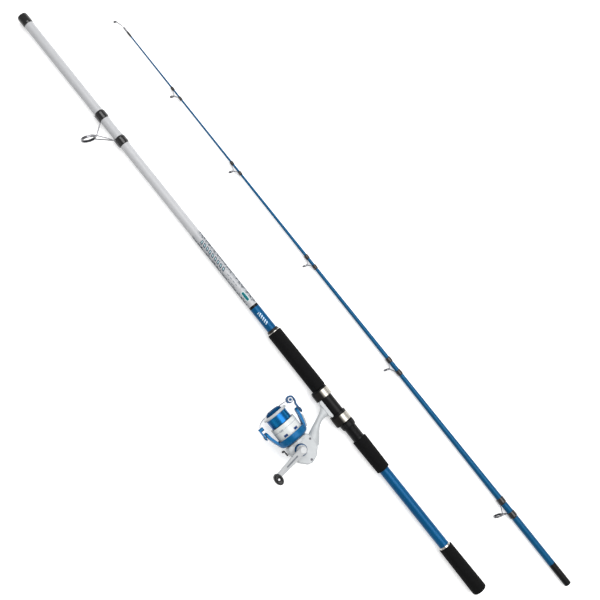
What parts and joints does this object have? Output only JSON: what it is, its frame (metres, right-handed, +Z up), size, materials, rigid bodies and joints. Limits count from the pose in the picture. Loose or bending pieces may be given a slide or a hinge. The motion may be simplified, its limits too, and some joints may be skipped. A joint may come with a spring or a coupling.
{
  "type": "fishing rod and reel",
  "caption": "Two-piece fishing rod lying apart, with foam grips, line guides and a spinning reel clamped in the seat of its butt section.",
  "frame": {"origin": "centre of the flat end of the butt grip", "axes": "+X along the butt section towards its ferrule, +Y the side the reel hangs on as the rod lies, +Z up from the table"},
  "size_m": [1.328, 0.2719, 0.1366],
  "materials": {
    "grip_foam": "fine closed-cell foam, matt",
    "blank_blue": "clear-coated painted blank",
    "seat_black": "moulded, lightly grained",
    "hood_metal": "polished",
    "check_light": "smooth",
    "wrap_black": "thread under clear varnish",
    "guide_wire": "dark plated",
    "guide_ceramic": "polished",
    "reel_white": "pearl paint",
    "crank_grey": "silver-white paint",
    "rotor_blue": "metallic paint",
    "spool_blue": "anodised, turned",
    "drag_blue": "moulded",
    "steel": "machined",
    "brass": "machined",
    "zinc": "die cast",
    "felt": "pressed felt",
    "knob_rubber": "soft, satin",
    "black_plastic": "moulded",
    "roller_metal": "polished"
  },
  "bodies": {
    "rod_and_reel_body": {"butt_blank": "blank_blue", "butt_grip": "grip_foam", "butt_grip_check": "check_light", "rear_grip": "grip_foam", "fore_grip": "grip_foam", "winding_check": "wrap_black", "ferrule_wrap": "wrap_black", "stripper_guide_frame": "guide_wire", "stripper_guide_ring": "guide_ceramic", "stripper_guide_wraps": "wrap_black", "reel_seat": "seat_black", "front_hood_cover": "hood_metal", "reel_body": "reel_white", "side_cover": "reel_white", "cover_screws": "steel", "trim_ring": "rotor_blue", "drive_shaft_bearings": "steel", "shaft_cap": "reel_white", "pinion_bearing": "steel", "one_way_clutch": "steel"},
    "tip_section": {"tip_blank": "blank_blue", "spigot": "wrap_black", "tip_guide_frames": "guide_wire", "tip_guide_rings": "guide_ceramic", "tip_guide_wraps": "wrap_black", "tip_top_frame": "guide_wire", "tip_top_ring": "guide_ceramic", "tip_top_wrap": "wrap_black"},
    "rear_hood": {"sliding_hood": "seat_black", "rear_hood_cover": "hood_metal"},
    "lock_nut": {"lock_nut": "seat_black"},
    "crank": {"drive_gear": "zinc", "crank_arm": "crank_grey", "knob_spindle": "steel", "knob_screw": "steel"},
    "crank_knob": {"crank_knob": "knob_rubber"},
    "rotor": {"rotor": "rotor_blue", "rotor_arm_cover": "reel_white", "bail_spring": "steel", "pinion_gear": "brass", "rotor_nut": "brass", "bail_pivot_screws": "steel"},
    "oscillation_gear": {"oscillation_gear": "black_plastic"},
    "main_shaft": {"main_shaft": "steel", "oscillation_slider": "black_plastic", "spool_washer": "black_plastic"},
    "spool": {"spool_arbor": "spool_blue", "spool_skirt": "reel_white", "spool_lip": "reel_white", "drag_felt_washers": "felt", "drag_steel_washers": "steel"},
    "drag_knob": {"drag_knob": "drag_blue", "drag_spring": "steel"},
    "bail": {"bail_arm": "rotor_blue", "bail_lever": "rotor_blue", "bail_wire": "steel"},
    "line_roller": {"line_roller": "roller_metal"},
    "anti_reverse_lever": {"anti_reverse_lever": "black_plastic"}
  },
  "joints": [
    {"name": "tip_section_lift", "type": "slide", "parent": "rod_and_reel_body", "child": "tip_section", "axis": [0, 0, 1], "range_m": [0, 0.25]},
    {"name": "hood_slide", "type": "slide", "parent": "rod_and_reel_body", "child": "rear_hood", "axis": [-1, 0, 0], "range_m": [0, 0.006]},
    {"name": "nut_turn", "type": "hinge", "parent": "rear_hood", "child": "lock_nut", "pos_m": [0.3585, 0, 0], "axis": [1, 0, 0], "range_deg": [0, 1441]},
    {"name": "crank_turn", "type": "hinge", "parent": "rod_and_reel_body", "child": "crank", "pos_m": [0.379, 0.0883, 0.02201], "axis": [0, -0.2419, 0.9703], "continuous": true},
    {"name": "knob_turn", "type": "hinge", "parent": "crank", "child": "crank_knob", "pos_m": [0.3756, 0.13434, 0.10564], "axis": [0, -0.2419, 0.9703], "continuous": true},
    {"name": "rotor_turn", "type": "hinge", "parent": "rod_and_reel_body", "child": "rotor", "pos_m": [0.4, 0.08296, 0.02068], "axis": [1, 0, 0], "continuous": true},
    {"name": "oscillation_turn", "type": "hinge", "parent": "rod_and_reel_body", "child": "oscillation_gear", "pos_m": [0.367, 0.09121, 0.02892], "axis": [0, -0.2419, 0.9703], "continuous": true},
    {"name": "shaft_stroke", "type": "slide", "parent": "rod_and_reel_body", "child": "main_shaft", "axis": [1, 0, 0], "range_m": [0, 0.009]},
    {"name": "spool_turn", "type": "hinge", "parent": "main_shaft", "child": "spool", "pos_m": [0.44, 0.08296, 0.02068], "axis": [1, 0, 0], "continuous": true},
    {"name": "drag_turn", "type": "hinge", "parent": "main_shaft", "child": "drag_knob", "pos_m": [0.453, 0.08296, 0.02068], "axis": [1, 0, 0], "range_deg": [-540, 540]},
    {"name": "bail_swing", "type": "hinge", "parent": "rotor", "child": "bail", "pos_m": [0.43, 0.08296, 0.02068], "axis": [0, -0.9703, -0.2419], "range_deg": [0, 110]},
    {"name": "roller_turn", "type": "hinge", "parent": "bail", "child": "line_roller", "pos_m": [0.453, 0.0491, 0.01224], "axis": [0, -0.2419, 0.9703], "continuous": true},
    {"name": "anti_reverse_switch", "type": "hinge", "parent": "rod_and_reel_body", "child": "anti_reverse_lever", "pos_m": [0.3865, 0.10867, 0.0271], "axis": [0, 0.9703, 0.2419], "range_deg": [0, 30]}
  ],
  "couplings": [
    {"joint": "nut_turn", "follows": "hood_slide", "rad_per_m": 4188.8},
    {"joint": "rotor_turn", "follows": "crank_turn", "ratio": 5.25},
    {"joint": "oscillation_turn", "follows": "crank_turn", "ratio": -0.6}
  ]
}
